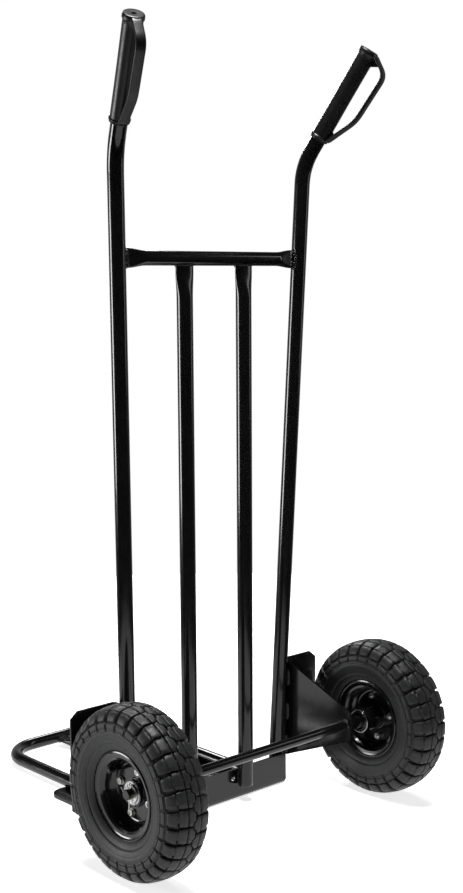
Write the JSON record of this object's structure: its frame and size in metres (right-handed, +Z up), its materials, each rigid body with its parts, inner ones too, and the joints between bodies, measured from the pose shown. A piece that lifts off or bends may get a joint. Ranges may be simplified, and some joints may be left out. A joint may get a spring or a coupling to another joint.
{
  "type": "hand truck",
  "caption": "Upright two-wheeled hand truck: tubular frame with crossbar, toe plate with a folding toe loop, spinning pneumatic wheels on a rod axle, and guarded hand grips.",
  "frame": {"origin": "on the floor at mid width, on the underside of the toe plate below the uprights", "axes": "+Z up, +Y towards the user, -Y the load side, +X and -X towards the two wheels"},
  "size_m": [0.597, 0.7, 1.2165],
  "materials": {
    "black_paint": "gloss black powder coat",
    "rim_paint": "gloss black paint on pressed steel",
    "grip_plastic": "semi-gloss moulded black plastic",
    "tyre_rubber": "matte dark grey rubber",
    "tube_rubber": "matte black rubber",
    "zinc_steel": "bright zinc plate",
    "bearing_steel": "ground steel"
  },
  "bodies": {
    "frame": {"side_tube_left": "black_paint", "side_tube_right": "black_paint", "inner_tube_left": "black_paint", "inner_tube_right": "black_paint", "crossbar": "black_paint", "toe_plate": "black_paint", "bracket_left": "black_paint", "bracket_right": "black_paint", "bracket_weld_left": "black_paint", "bracket_weld_right": "black_paint", "axle_rod": "black_paint", "spacer_left": "black_paint", "spacer_right": "black_paint", "inner_washer_left": "black_paint", "inner_washer_right": "black_paint", "outer_washer_left": "zinc_steel", "outer_washer_right": "zinc_steel", "split_pin_left": "zinc_steel", "split_pin_right": "zinc_steel", "pivot_lugs": "black_paint", "pivot_rod": "black_paint", "grip_left": "grip_plastic", "grip_right": "grip_plastic"},
    "wheel_left": {"tyre_left": "tyre_rubber", "air_tube_left": "tube_rubber", "valve_left": "tube_rubber", "rim_outer_left": "rim_paint", "rim_inner_left": "rim_paint", "hub_left": "rim_paint", "bearings_left": "bearing_steel", "rim_bolts_left": "zinc_steel", "rim_nuts_left": "zinc_steel"},
    "wheel_right": {"tyre_right": "tyre_rubber", "air_tube_right": "tube_rubber", "valve_right": "tube_rubber", "rim_outer_right": "rim_paint", "rim_inner_right": "rim_paint", "hub_right": "rim_paint", "bearings_right": "bearing_steel", "rim_bolts_right": "zinc_steel", "rim_nuts_right": "zinc_steel"},
    "toe_loop": {"toe_loop": "black_paint", "loop_mid_bar": "black_paint", "loop_sleeve": "black_paint"}
  },
  "joints": [
    {"name": "wheel_left_spin", "type": "hinge", "parent": "frame", "child": "wheel_left", "pos_m": [0.26, 0.145, 0.13], "axis": [1, 0, 0], "continuous": true},
    {"name": "wheel_right_spin", "type": "hinge", "parent": "frame", "child": "wheel_right", "pos_m": [-0.26, 0.145, 0.13], "axis": [1, 0, 0], "continuous": true},
    {"name": "toe_loop_fold", "type": "hinge", "parent": "frame", "child": "toe_loop", "pos_m": [0, -0.0016, 0.0163], "axis": [-1, 0, 0], "range_deg": [0, 90]}
  ]
}
